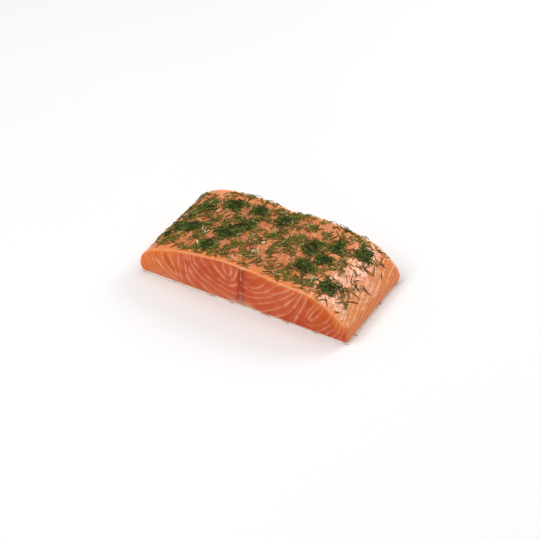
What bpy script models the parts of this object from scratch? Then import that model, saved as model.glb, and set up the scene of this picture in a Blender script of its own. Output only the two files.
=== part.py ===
"""A portion of cured salmon fillet under chopped dill, cut straight across the fish and lying on its skin.

X runs from the fish's back edge to its belly edge, Y from the near cut to the far cut, and Z up from the
surface that the skin lies on. The origin is under the middle of the portion, at that surface.
"""

import math
import random

import bmesh
import bpy
from mathutils import Vector, noise

MM = 0.001

# The portion as a whole
LENGTH = 168 * MM
DEPTH = 79 * MM
CORNER_RADIUS = 5 * MM

# The skin, a thin layer under the flesh, and the gap that keeps the two solids apart
SKIN_THICKNESS = 1.2 * MM
SKIN_EDGE_THICKNESS = 0.8 * MM
SKIN_OVERHANG = 0.9 * MM
SKIN_RAGGEDNESS = 0.7 * MM
SKIN_RAG_SIZE = 4.4 * MM
SKIN_FLAP = 0.8 * MM
SKIN_FLAP_REACH = 14 * MM
LAYER_GAP = 0.3 * MM

# Height of the top along each cut: (share of the length from the back edge, height in mm)
NEAR_CUT_TOP = (
    (0.00, 10.0), (0.03, 17.8), (0.08, 23.0), (0.16, 28.4), (0.26, 32.0), (0.46, 35.6),
    (0.58, 35.4), (0.66, 33.2), (0.76, 32.8), (0.84, 30.6), (0.91, 24.4), (1.00, 12.2),
)
FAR_CUT_TOP = (
    (0.00, 10.0), (0.04, 19.2), (0.10, 26.8), (0.17, 31.2), (0.28, 33.2), (0.46, 33.4),
    (0.62, 33.2), (0.74, 31.8), (0.84, 28.8), (0.89, 25.8), (0.94, 20.0), (1.00, 9.5),
)
FAR_FALL_POWER = 1.8
FAR_CUT_LEAN = 1.6 * MM

# The shallow groove over the bone line, where the back and belly muscles meet
GROOVE_AT = 0.50
GROOVE_HALF_WIDTHS = (5 * MM, 12 * MM)
GROOVE_DEPTHS = (0.9 * MM, 2.9 * MM)

# Soft waves of the top and the rounding of its rim
WAVE_HEIGHT = 0.45 * MM
WAVE_SIZE = 21 * MM
CUT_BULGE = 0.5 * MM
FOOT_INSET = 0.7 * MM
RIM_DROP = 0.7 * MM
RIM_INSET = 0.6 * MM

# How finely the flesh and the skin's edge are faceted
COLUMNS = 34
CORNER_COLUMNS = 3
END_CROWDING = 0.4
ROWS = 16
WALL_LEVELS = (0.0, 0.32, 0.68, 0.94)
SKIN_STEPS = (52, 26)

# Chopped dill: tufts lie thick on the middle, single fronds between them
FROND_WIDTH = 1.5 * MM
FROND_HEIGHT = 0.65 * MM
FROND_SINK = 0.35 * MM
FROND_TIP_SHARE = 0.45
FROND_STEPS = 3
MOST_FROND_TURN = 0.9
FROND_LENGTHS = (6.5 * MM, 13 * MM)
TUFT_FRONDS = 8
LOOSE_FRONDS = 56
STEEPEST_FROND = 0.75
DILL_MARGIN = 3 * MM
DILL_SEED = 11

# Tufts of dill: (share of the length, share of the depth from the near cut, radius in mm)
TUFTS = (
    (0.147, 0.68, 6.0), (0.269, 0.75, 7.0), (0.386, 0.79, 5.0), (0.505, 0.78, 6.0), (0.367, 0.56, 6.0),
    (0.324, 0.40, 7.5), (0.297, 0.18, 5.5), (0.095, 0.37, 5.0), (0.165, 0.39, 4.5), (0.699, 0.60, 7.5),
    (0.783, 0.69, 6.0), (0.713, 0.30, 8.5), (0.773, 0.47, 6.0), (0.885, 0.78, 4.5), (0.862, 0.24, 5.0),
)

FLESH_COLOUR = (0.80, 0.24, 0.10, 1)
SKIN_COLOUR = (0.55, 0.56, 0.54, 1)


def clear_scene():
    """Removes whatever the scene holds."""
    for obj in list(bpy.data.objects):
        bpy.data.objects.remove(obj, do_unlink=True)


def material(name, colour, roughness):
    """A plain Principled material."""
    made = bpy.data.materials.new(name)
    made.use_nodes = True
    shader = made.node_tree.nodes["Principled BSDF"]
    shader.inputs["Base Color"].default_value = colour
    shader.inputs["Roughness"].default_value = roughness
    return made


def clamp(value, low=0.0, high=1.0):
    """The value, held between two limits."""
    return max(low, min(high, value))


def along(stations, share):
    """A smooth curve through (share, value) stations, with a Catmull-Rom slope at each."""
    last = len(stations) - 1
    i = 0
    while i < last - 1 and share > stations[i + 1][0]:
        i += 1
    (x0, y0), (x1, y1) = stations[i], stations[i + 1]
    before = stations[max(0, i - 1)]
    after = stations[min(last, i + 2)]
    span = x1 - x0
    slope0 = (y1 - before[1]) / (x1 - before[0]) * span
    slope1 = (after[1] - y0) / (after[0] - x0) * span
    t = clamp((share - x0) / span)
    return (
        (2 * t**3 - 3 * t**2 + 1) * y0
        + (t**3 - 2 * t**2 + t) * slope0
        + (3 * t**2 - 2 * t**3) * y1
        + (t**3 - t**2) * slope1
    )


def top_height(x, y):
    """Height of the flesh's top above the surface that the portion lies on."""
    across = clamp(x / LENGTH + 0.5)
    back = clamp(y / DEPTH + 0.5)
    fall = back**FAR_FALL_POWER
    height = ((1 - fall) * along(NEAR_CUT_TOP, across) + fall * along(FAR_CUT_TOP, across)) * MM
    width, depth = (near + (far - near) * back for near, far in (GROOVE_HALF_WIDTHS, GROOVE_DEPTHS))
    height -= depth * math.exp(-(((across - GROOVE_AT) * LENGTH / width) ** 2))
    calm = clamp(height / (12 * MM)) ** 2
    return height + calm * WAVE_HEIGHT * noise.noise(Vector((x, y, 0)) / WAVE_SIZE)


def corner_cut(x, inset):
    """How far the plan's round corners cut a long side back at x."""
    into = abs(x) - (LENGTH / 2 - inset - CORNER_RADIUS)
    if into <= 0:
        return 0.0
    into = min(into, CORNER_RADIUS)
    return CORNER_RADIUS - math.sqrt(CORNER_RADIUS**2 - into**2)


def columns():
    """Places along the length from -1 to 1, closer together towards the ends and in the round corners."""
    straight = 1 - CORNER_RADIUS / (LENGTH / 2)
    turns = [math.pi / 2 * (k + 1) / CORNER_COLUMNS for k in range(CORNER_COLUMNS)]
    arc = [straight + (1 - straight) * math.sin(turn) for turn in turns]
    even = [2 * k / COLUMNS - 1 for k in range(COLUMNS + 1)]
    crowded = [(1 - END_CROWDING) * t + END_CROWDING * math.sin(math.pi / 2 * t) for t in even]
    return [-u for u in reversed(arc)] + [straight * t for t in crowded] + arc


def plan_point(u, v, level, inset):
    """The plan's point at u along and v across, both from -1 to 1, where its outline is drawn in by inset."""
    x = u * (LENGTH / 2 - inset)
    lean = FAR_CUT_LEAN * level * (1 + v) / 2
    return x, v * (DEPTH / 2 - inset - corner_cut(x, inset)) - lean


def wall_inset(level):
    """How far the side stands in from the widest outline at this share of its height."""
    foot = FOOT_INSET * (1 - level) ** 3
    return foot + CUT_BULGE * (2 * level - 1) ** 2


def build_flesh(finish):
    """The flesh as one closed shell: a gridded top, faceted sides and a flat foot on the skin."""
    floor = SKIN_THICKNESS + LAYER_GAP
    us = columns()
    vs = [2 * k / ROWS - 1 for k in range(ROWS + 1)]
    shape = bmesh.new()

    def top_vertex(u, v):
        rim = u in (us[0], us[-1]) or v in (vs[0], vs[-1])
        x, y = plan_point(u, v, 1, wall_inset(1) + (RIM_INSET if rim else 0))
        return shape.verts.new((x, y, top_height(x, y) - (RIM_DROP if rim else 0)))

    top = [[top_vertex(u, v) for u in us] for v in vs]
    for near, far in zip(top, top[1:]):
        for a, b, c, d in zip(near, near[1:], far[1:], far):
            shape.faces.new((a, b, c, d))
    round_the_plan = (
        [(u, vs[0], top[0][i]) for i, u in enumerate(us)]
        + [(us[-1], v, top[j][-1]) for j, v in enumerate(vs)][1:]
        + [(u, vs[-1], top[-1][i]) for i, u in enumerate(us)][-2::-1]
        + [(us[0], v, top[j][0]) for j, v in enumerate(vs)][-2:0:-1]
    )
    rings = []
    for level in WALL_LEVELS:
        ring = []
        for u, v, rim in round_the_plan:
            x, y = plan_point(u, v, level, wall_inset(level))
            ring.append(shape.verts.new((x, y, floor + level * (rim.co.z - floor))))
        rings.append(ring)
    rings.append([rim for _, _, rim in round_the_plan])
    join_rings(shape, rings)
    shape.faces.new(list(reversed(rings[0])))
    bmesh.ops.recalc_face_normals(shape, faces=shape.faces)
    return finished("salmon_flesh", shape, finish)


def build_skin(finish):
    """The skin: a thin sheet a little wider than the flesh, with an uneven edge and one loose corner."""
    shape = bmesh.new()
    us, vs = ([2 * k / steps - 1 for k in range(steps + 1)] for steps in SKIN_STEPS)
    round_the_plan = (
        [(u, -1) for u in us]
        + [(1, v) for v in vs[1:]]
        + [(u, 1) for u in us[-2::-1]]
        + [(-1, v) for v in vs[-2:0:-1]]
    )
    outer, inner, under = [], [], []
    for u, v in round_the_plan:
        wander = SKIN_RAGGEDNESS * noise.noise(Vector((u * LENGTH, v * DEPTH, 0)) / SKIN_RAG_SIZE)
        to_corner = math.hypot((1 - u) * LENGTH, (1 - v) * DEPTH) / 2
        flap = SKIN_FLAP * clamp(1 - to_corner / SKIN_FLAP_REACH)
        x, y = plan_point(u, v, 0, FOOT_INSET - SKIN_OVERHANG - wander - flap)
        under.append(shape.verts.new((x, y, 0)))
        outer.append(shape.verts.new((x, y, SKIN_EDGE_THICKNESS)))
        x, y = plan_point(u, v, 0, 2 * FOOT_INSET)
        inner.append(shape.verts.new((x, y, SKIN_THICKNESS)))
    join_rings(shape, (under, outer, inner))
    shape.faces.new(inner)
    shape.faces.new(list(reversed(under)))
    bmesh.ops.recalc_face_normals(shape, faces=shape.faces)
    return finished("salmon_skin", shape, finish)


def join_rings(shape, rings):
    """Faces between each ring of vertices and the next."""
    for low, high in zip(rings, rings[1:]):
        for i in range(len(low)):
            j = (i + 1) % len(low)
            shape.faces.new((low[i], low[j], high[j], high[i]))


def finished(name, shape, finish):
    """Turns a bmesh into a named object, smooth where it is round."""
    mesh = bpy.data.meshes.new(name)
    shape.to_mesh(mesh)
    shape.free()
    mesh.materials.append(finish)
    mesh.shade_smooth()
    mesh.set_sharp_from_angle(angle=math.radians(40))
    obj = bpy.data.objects.new(name, mesh)
    bpy.context.scene.collection.objects.link(obj)
    return obj


def frond_path(draw, x, y):
    """Points of a curved frond that lies on the top around x, y, or None where that is too steep."""
    length = draw.uniform(*FROND_LENGTHS)
    heading = draw.uniform(0, 2 * math.pi)
    turn = draw.uniform(-MOST_FROND_TURN, MOST_FROND_TURN)
    x -= math.cos(heading) * length / 2
    y -= math.sin(heading) * length / 2
    points = []
    for k in range(FROND_STEPS + 1):
        if abs(x) > LENGTH / 2 - DILL_MARGIN or abs(y) > DEPTH / 2 - DILL_MARGIN:
            return None
        points.append(Vector((x, y, top_height(x, y))))
        bend = heading + turn * k / FROND_STEPS
        x += length / FROND_STEPS * math.cos(bend)
        y += length / FROND_STEPS * math.sin(bend)
    rises = [abs(b.z - a.z) * FROND_STEPS / length for a, b in zip(points, points[1:])]
    return points if max(rises) < STEEPEST_FROND else None


def build_frond(name, points, collection):
    """One frond: a thin strip of three sides, narrow at its ends and sunk a little into the flesh."""
    shape = bmesh.new()
    rings = []
    for before, at, after in zip(points[:1] + points, points, points[1:] + points[-1:]):
        share = FROND_TIP_SHARE if at in (before, after) else 1
        ahead = after - before
        half = Vector((-ahead.y, ahead.x, 0)).normalized() * FROND_WIDTH / 2 * share
        foot = at - Vector((0, 0, FROND_SINK))
        ridge = at + Vector((0, 0, FROND_HEIGHT * share))
        rings.append([shape.verts.new(corner) for corner in (foot - half, foot + half, ridge)])
    join_rings(shape, rings)
    shape.faces.new(list(reversed(rings[0])))
    shape.faces.new(rings[-1])
    bmesh.ops.recalc_face_normals(shape, faces=shape.faces)
    mesh = bpy.data.meshes.new(name)
    shape.to_mesh(mesh)
    shape.free()
    collection.objects.link(bpy.data.objects.new(name, mesh))


def sow(draw, count, somewhere):
    """Paths for this many fronds, each at a place drawn by somewhere until one fits there."""
    paths = []
    while len(paths) < count:
        points = frond_path(draw, *somewhere())
        if points:
            paths.append(points)
    return paths


def scatter_dill(collection):
    """Fills the collection with fronds: each tuft's own first, then loose ones spread over the top."""
    draw = random.Random(DILL_SEED)
    paths = []
    for across, back, radius in TUFTS:

        def in_tuft():
            angle, reach = draw.uniform(0, 2 * math.pi), radius * MM * math.sqrt(draw.random())
            x = (across - 0.5) * LENGTH + reach * math.cos(angle)
            return x, (back - 0.5) * DEPTH + reach * math.sin(angle)

        paths += sow(draw, TUFT_FRONDS, in_tuft)

    def anywhere():
        return draw.uniform(-0.5, 0.5) * LENGTH, draw.uniform(-0.5, 0.5) * DEPTH

    paths += sow(draw, LOOSE_FRONDS, anywhere)
    for number, points in enumerate(paths):
        build_frond(f"frond_{number}", points, collection)


def fuse(obj, collection):
    """Joins everything in the collection to the object by one union, then removes the collection."""
    union = obj.modifiers.new("dill", "BOOLEAN")
    union.operation = "UNION"
    union.operand_type = "COLLECTION"
    union.collection = collection
    union.solver = "EXACT"
    bpy.context.view_layer.objects.active = obj
    bpy.ops.object.modifier_apply(modifier=union.name)
    for piece in list(collection.objects):
        bpy.data.objects.remove(piece, do_unlink=True)
    bpy.data.collections.remove(collection)
    keep_largest_shell(obj.data)


def keep_largest_shell(mesh):
    """Drops loose scraps, and the walls of any hollow that the fusing sealed, which fills it."""
    shape = bmesh.new()
    shape.from_mesh(mesh)
    shells, seen = [], set()
    for first in shape.faces:
        if first in seen:
            continue
        seen.add(first)
        shell, waiting = [first], [first]
        while waiting:
            joined = [edge.link_faces for edge in waiting.pop().edges if len(edge.link_faces) == 2]
            fresh = {face for faces in joined for face in faces} - seen
            seen |= fresh
            shell += fresh
            waiting += fresh
        shells.append(shell)
    largest = max(shells, key=len)
    strays = [face for shell in shells if shell is not largest for face in shell]
    bmesh.ops.delete(shape, geom=strays, context="FACES")
    shape.to_mesh(mesh)
    shape.free()


def main():
    clear_scene()
    flesh = build_flesh(material("salmon_flesh", FLESH_COLOUR, 0.35))
    build_skin(material("salmon_skin", SKIN_COLOUR, 0.4))
    dill = bpy.data.collections.new("dill")
    bpy.context.scene.collection.children.link(dill)
    scatter_dill(dill)
    fuse(flesh, dill)


main()
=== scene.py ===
"""A portion of cured salmon fillet under chopped dill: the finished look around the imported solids.

X runs from the fish's back edge to its belly edge, Y from the near cut to the far cut, and Z up
from the surface that the skin lies on. Sizes are in metres, and MM turns millimetres into them.
"""

import logging
import math
import random
from dataclasses import dataclass
from enum import Enum

import bpy
import numpy as np
from mathutils import Matrix, Vector, noise

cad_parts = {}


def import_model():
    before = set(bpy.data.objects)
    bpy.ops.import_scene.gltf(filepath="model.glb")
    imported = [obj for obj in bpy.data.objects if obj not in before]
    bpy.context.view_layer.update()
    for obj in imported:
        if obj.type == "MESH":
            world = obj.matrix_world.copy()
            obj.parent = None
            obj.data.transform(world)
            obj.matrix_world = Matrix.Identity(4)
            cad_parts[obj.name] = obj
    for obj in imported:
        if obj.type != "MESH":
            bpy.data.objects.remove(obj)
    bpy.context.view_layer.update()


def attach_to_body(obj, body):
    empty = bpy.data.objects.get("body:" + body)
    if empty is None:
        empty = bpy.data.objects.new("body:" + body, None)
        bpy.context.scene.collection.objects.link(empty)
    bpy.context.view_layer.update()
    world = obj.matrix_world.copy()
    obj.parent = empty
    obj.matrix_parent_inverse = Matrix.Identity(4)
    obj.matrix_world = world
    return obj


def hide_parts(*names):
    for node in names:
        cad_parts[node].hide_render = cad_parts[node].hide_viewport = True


MM = 0.001
BODY = "root"
LOG = logging.getLogger("fillet")

# Height of the top along each cut: (share of the length from the back edge, height in mm)
NEAR_CUT_TOP = (
    (0.00, 10.0), (0.03, 17.8), (0.08, 23.0), (0.16, 28.4), (0.26, 32.0), (0.46, 35.6),
    (0.58, 35.4), (0.66, 33.2), (0.76, 32.8), (0.84, 30.6), (0.91, 24.4), (1.00, 12.2),
)
FAR_CUT_TOP = (
    (0.00, 10.0), (0.04, 19.2), (0.10, 26.8), (0.17, 31.2), (0.28, 33.2), (0.46, 33.4),
    (0.62, 33.2), (0.74, 31.8), (0.84, 28.8), (0.89, 25.8), (0.94, 20.0), (1.00, 9.5),
)

# Tufts of dill: (share of the length, share of the depth from the near cut, radius in mm)
TUFTS = (
    (0.147, 0.68, 6.0), (0.269, 0.75, 7.0), (0.386, 0.79, 5.0), (0.505, 0.78, 6.0), (0.367, 0.56, 6.0),
    (0.324, 0.40, 7.5), (0.297, 0.18, 5.5), (0.095, 0.37, 5.0), (0.165, 0.39, 4.5), (0.699, 0.60, 7.5),
    (0.783, 0.69, 6.0), (0.713, 0.30, 8.5), (0.773, 0.47, 6.0), (0.885, 0.78, 4.5), (0.862, 0.24, 5.0),
)

# The pale sheets between the muscle's layers, as they meet the near cut: (layer, points x and z in mm)
BACK_SHEETS = (
    (0, ((-12, 29), (-10.5, 25.5), (-7.5, 25), (-6, 28))),
    (1, ((-15.5, 24.5), (-12.5, 22), (-9, 20.5), (-5, 22.5), (-2, 29.5))),
    (2, ((-27, 26.5), (-23, 22), (-15.5, 17.5), (-10, 16), (-4.5, 17.5), (-1.5, 20.5))),
    (3, ((-37, 26.5), (-31.5, 21), (-23, 15.5), (-14, 12), (-8, 10.5), (-2.5, 10.5))),
    (4, ((-39, 23), (-34.5, 17.5), (-30, 13.5), (-22, 9), (-14.5, 5.5), (-11, 4.5))),
    (5, ((-42.5, 24), (-40.5, 18), (-38, 13), (-33.5, 8.5), (-29, 5), (-24.5, 2))),
    (6, ((-45, 27.5), (-43.5, 18), (-43.5, 12), (-41.5, 7), (-38, 2.5))),
    (7, ((-49.5, 29.5), (-50, 20), (-49, 11), (-48.5, 2.5))),
    (8, ((-57.5, 24.5), (-54.5, 18), (-52.5, 12), (-52, 8))),
    (8, ((-63.5, 24.5), (-62.5, 19), (-58, 12.5), (-52.5, 8))),
    (7, ((-69, 19), (-64.5, 12.5), (-58.5, 6.5), (-54.5, 4.5), (-48.5, 2.5))),
    (6, ((-71.5, 16.5), (-68.5, 10), (-63.5, 4.5), (-59.5, 3))),
    (5, ((-74, 15.5), (-72.5, 8.5), (-68.5, 3.5))),
    (4, ((-77, 13), (-75, 7.5))),
)
BELLY_SHEETS = (
    (1, ((9, 21), (13.5, 22.5), (18, 26))),
    (2, ((5.5, 19.5), (10, 17.5), (14.5, 18.5), (21, 22), (27, 29))),
    (3, ((3, 12), (9.5, 12.5), (16.5, 14.5), (23, 18), (28.5, 23), (34, 26.5))),
    (4, ((8, 5.5), (15.5, 9), (24.5, 14), (31.5, 19), (39, 25.5), (42.5, 28.5))),
    (5, ((16.5, 2), (24.5, 7), (33, 13.5), (37.5, 18), (42.5, 24.5), (47, 31))),
    (6, ((28, 2), (35, 7), (38.5, 10.5), (44, 19.5), (49.5, 31.5))),
    (7, ((42.5, 4), (46.5, 13.5), (51, 23.5), (53, 29.5))),
    (8, ((61, 27), (55.5, 20), (52, 12), (51, 8), (51.5, 6), (54, 5.5), (60.5, 8.5),
         (68, 15), (71, 21))),
    (9, ((62, 25.5), (58.5, 21), (55, 14.5), (53.5, 10.5), (56.5, 12), (61, 17),
         (63, 21.5), (62, 25.5))),
    (7, ((60, 1.5), (68, 9.5), (73.5, 17), (75, 19.5))),
    (6, ((66.5, 2), (73.5, 10.5), (76, 17.5))),
    (5, ((73.5, 3.5), (77.5, 10.5), (78, 17))),
    (4, ((79.5, 7.5), (81.5, 15))),
    (3, ((83.5, 8.5), (85.5, 15.5))),
)

# White fat in the seam between the two halves of the near cut: (x, z, half width, half height) in mm
SEAM_FAT = (
    (2.1, 35.0, 2.0, 0.8), (1.5, 25.7, 0.6, 1.2), (0.4, 12.4, 0.9, 1.3), (-5.0, 2.4, 4.5, 1.7),
    (6.0, 2.6, 4.5, 1.9),
)

# Bare flesh between the dill: (x, y, radius) in mm
BARE_PATCHES = (
    (-10, 11, 6), (20, -19, 7.5), (15, 14, 4.5), (27, 19, 5), (47, 29, 5.5), (63, 11, 5),
    (-46, 10, 4), (-15, 8, 4), (-26, -20, 4.5), (-67, 27, 7), (-54, 33, 11), (-46, -28, 5),
    (-55, -17, 4.5), (-60, -33, 5), (58, -10, 6), (64, -11, 5), (61, -20, 5), (69, 7, 5),
    (73, 19, 5), (80, 5, 6), (67, -29, 7), (76, -35, 7), (77, 31, 6), (53, -19, 3.5),
)

# Wet patches where the lights' glare on the sheen is painted in as pale colour: (x, y, radius) in mm
GLARE_PATCHES = (
    (58, -12, 5.5), (77, -9, 6), (66, -26, 8), (69, 7, 7), (75, -33, 7), (79, 3, 7), (49, -22, 4),
    (73, 20, 6), (-55, 33, 8),
)

# Single stems that lie apart: (x and y of one end, x and y of the other, in mm, tone)
STEMS = (
    (18, -2, 24.5, -5, 0.80), (16, -37, 19, -38, 0.80), (39, -35, 45, -29, 0.62),
    (12, -24, 17, -27, 0.66), (38, 20, 41, 25.5, 0.80), (37, 30, 45, 25, 0.30),
    (-58, -36, -55.5, -32, 0.70), (-53, -35, -51, -33, 0.78), (-70.5, -36, -71, -27.5, 0.70),
    (-54, -27.5, -46.5, -34.5, 0.74), (-60, -14.5, -54, -22, 0.70), (-60.5, -30, -58, -29, 0.80),
    (-53, -6, -39.5, -4, 0.05), (-64.5, 32, -60, 28.5, 0.80), (-53, 30, -49.5, 27, 0.80),
    (-51.5, 34, -42.5, 34.5, 0.25), (-17, -33.5, -16, -29, 0.65), (-28, -37, -26.5, -34, 0.10),
    (-28.5, -28, -21, -34, 0.58), (58.5, -36, 60.5, -28, 0.78), (62.5, -31, 67.5, -37, 0.72),
    (72, -35.5, 74.5, -32.5, 0.80), (69, -29, 73, -23, 0.82), (73, -22, 79, -14.5, 0.80),
    (79, -14.5, 82, -14, 0.80), (68.5, -2.5, 75.5, -8, 0.80), (71, -12, 78, -11.5, 0.72),
    (74.5, -1, 81, -1.5, 0.78), (68.5, 12, 74, 10.5, 0.76), (64, 8.5, 68.5, 10, 0.70),
    (73, 31, 74, 27, 0.82), (78, 20, 80, 16.5, 0.75), (64, -18.5, 67.5, -23, 0.30),
    (-45.5, -22, -38, -30, 0.97),
)

# Small sprays on top of the rest: (x, y in mm, tone, sprigs)
SPRAYS = (
    (0.4, 7, 0.94, 2), (0.7, 21.5, 0.94, 2), (-46, -11, 0.94, 2), (-1, -17, 0.94, 2),
    (47.5, -24, 0.94, 2), (-77, -11, 0.20, 5), (-78, -19, 0.36, 4), (-74, -16, 0.14, 7),
    (-71, -20, 0.22, 6), (-69, -26, 0.36, 4), (-74, -29, 0.50, 3), (-76, 4, 0.44, 3),
    (-74, 18, 0.46, 3), (-67, 2, 0.16, 6), (30, 37, 0.40, 3), (43, 35, 0.20, 4), (12, 37, 0.48, 4),
    (25, 32, 0.50, 3), (55, 31, 0.46, 3), (-20, 37, 0.44, 4), (-33, 36, 0.30, 3),
)


def paint(red: int, green: int, blue: int) -> tuple[float, float, float, float]:
    """A paint-chart colour as the linear one that a shader takes.

    Args:
        red, green, blue: The colour's shares, from 0 to 255.

    Returns:
        The linear colour, opaque.
    """
    shares = (part / 255 for part in (red, green, blue))
    linear = (s / 12.92 if s <= 0.04045 else ((s + 0.055) / 1.055) ** 2.4 for s in shares)
    return (*linear, 1.0)


def smooth_step(low: float, high: float, value: np.ndarray) -> np.ndarray:
    """A soft step: 0 at low, 1 at high and smooth between. Low may be the larger one."""
    share = np.clip((value - low) / (high - low), 0, 1)
    return share * share * (3 - 2 * share)


def hill(*shares: np.ndarray) -> np.ndarray:
    """A round hill: 1 where every share is 0, and next to nothing where one of them is 2."""
    return np.exp(-sum(share**2 for share in shares))


def ramp(value: float, width: float) -> float:
    """An even rise from 0 where the value is 0 to 1 where it is width, and level outside."""
    return min(1.0, max(0.0, value / width))


def crowd(share: np.ndarray, crowding: float) -> np.ndarray:
    """Moves even shares from -1 to 1 closer together towards both ends."""
    return (1 - crowding) * share + crowding * np.sin(np.pi / 2 * share)


def field_noise(points: np.ndarray, size: float, seed: float = 0.0) -> np.ndarray:
    """Soft random values from about -1 to 1 at points, with hills that lie size apart."""
    moved = points / size + seed
    return np.array([noise.noise(Vector(point)) for point in moved.tolist()])


@dataclass(frozen=True)
class FilletForm:
    """The portion's shape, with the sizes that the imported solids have, but for its tighter corners."""

    length: float = 168 * MM
    depth: float = 79 * MM
    corner_radius: float = 3 * MM
    skin_thickness: float = 1.2 * MM
    skin_overhang: float = 0.9 * MM
    skin_raggedness: float = 0.7 * MM
    skin_rag_size: float = 4.4 * MM
    skin_flap_reach: float = 14 * MM
    far_fall_power: float = 1.8
    far_cut_lean: float = 1.6 * MM
    groove_at: float = 0.50
    groove_half_widths: tuple[float, float] = (5 * MM, 12 * MM)
    groove_depths: tuple[float, float] = (0.9 * MM, 2.9 * MM)
    wave_height: float = 0.45 * MM
    wave_size: float = 21 * MM
    calm_height: float = 12 * MM
    cut_bulge: float = 0.5 * MM
    foot_inset: float = 0.7 * MM

    @staticmethod
    def along(stations: tuple, share: np.ndarray) -> np.ndarray:
        """A smooth curve through stations, with a Catmull-Rom slope at each.

        Args:
            stations: Pairs of a share and a value.
            share: Where the curve is read.

        Returns:
            The curve's value at each share.
        """
        xs, ys = np.array(stations).T
        last = len(xs) - 1
        i = np.clip(np.searchsorted(xs, share) - 1, 0, last - 1)
        before, after = np.maximum(i - 1, 0), np.minimum(i + 2, last)
        span = xs[i + 1] - xs[i]
        slope0 = (ys[i + 1] - ys[before]) / (xs[i + 1] - xs[before]) * span
        slope1 = (ys[after] - ys[i]) / (xs[after] - xs[i]) * span
        t = np.clip((share - xs[i]) / span, 0, 1)
        return (
            (2 * t**3 - 3 * t**2 + 1) * ys[i]
            + (t**3 - 2 * t**2 + t) * slope0
            + (3 * t**2 - 2 * t**3) * ys[i + 1]
            + (t**3 - t**2) * slope1
        )

    def top(self, x: np.ndarray, y: np.ndarray) -> np.ndarray:
        """Height of the flesh's top.

        Args:
            x, y: Places on the plan.

        Returns:
            The height above the surface that the portion lies on, at each place.
        """
        x, y = np.atleast_1d(x), np.atleast_1d(y)
        across = np.clip(x / self.length + 0.5, 0, 1)
        back = np.clip(y / self.depth + 0.5, 0, 1)
        fall = back**self.far_fall_power
        height = (1 - fall) * self.along(NEAR_CUT_TOP, across) + fall * self.along(FAR_CUT_TOP, across)
        ends = (self.groove_half_widths, self.groove_depths)
        width, depth = (near + (far - near) * back for near, far in ends)
        height = height * MM - depth * hill((across - self.groove_at) * self.length / width)
        calm = np.clip(height / self.calm_height, 0, 1) ** 2
        waves = field_noise(np.column_stack([x, y, 0 * x]), self.wave_size)
        return height + calm * self.wave_height * waves

    def corner_cut(self, x: np.ndarray, inset: np.ndarray) -> np.ndarray:
        """How far round corners cut a long side back at x, with the outline drawn in by inset."""
        radius = self.corner_radius
        into = np.clip(np.abs(x) - (self.length / 2 - inset - radius), 0, radius)
        return radius - np.sqrt(radius**2 - into**2)

    def plan(
        self, u: np.ndarray, v: np.ndarray, level: np.ndarray, inset: np.ndarray
    ) -> tuple[np.ndarray, np.ndarray]:
        """Places on the plan.

        Args:
            u, v: Shares along and across, both from -1 to 1.
            level: Share of the side's height, which the far cut's lean grows with.
            inset: How far the outline is drawn in.

        Returns:
            The places' x and y.
        """
        x = u * (self.length / 2 - inset)
        lean = self.far_cut_lean * level * (1 + v) / 2
        return x, v * (self.depth / 2 - inset - self.corner_cut(x, inset)) - lean

    def wall_inset(self, level: np.ndarray) -> np.ndarray:
        """How far the side stands in from its widest outline at each share of its height."""
        return self.foot_inset * (1 - level) ** 3 + self.cut_bulge * (2 * level - 1) ** 2


FORM = FilletForm()


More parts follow.
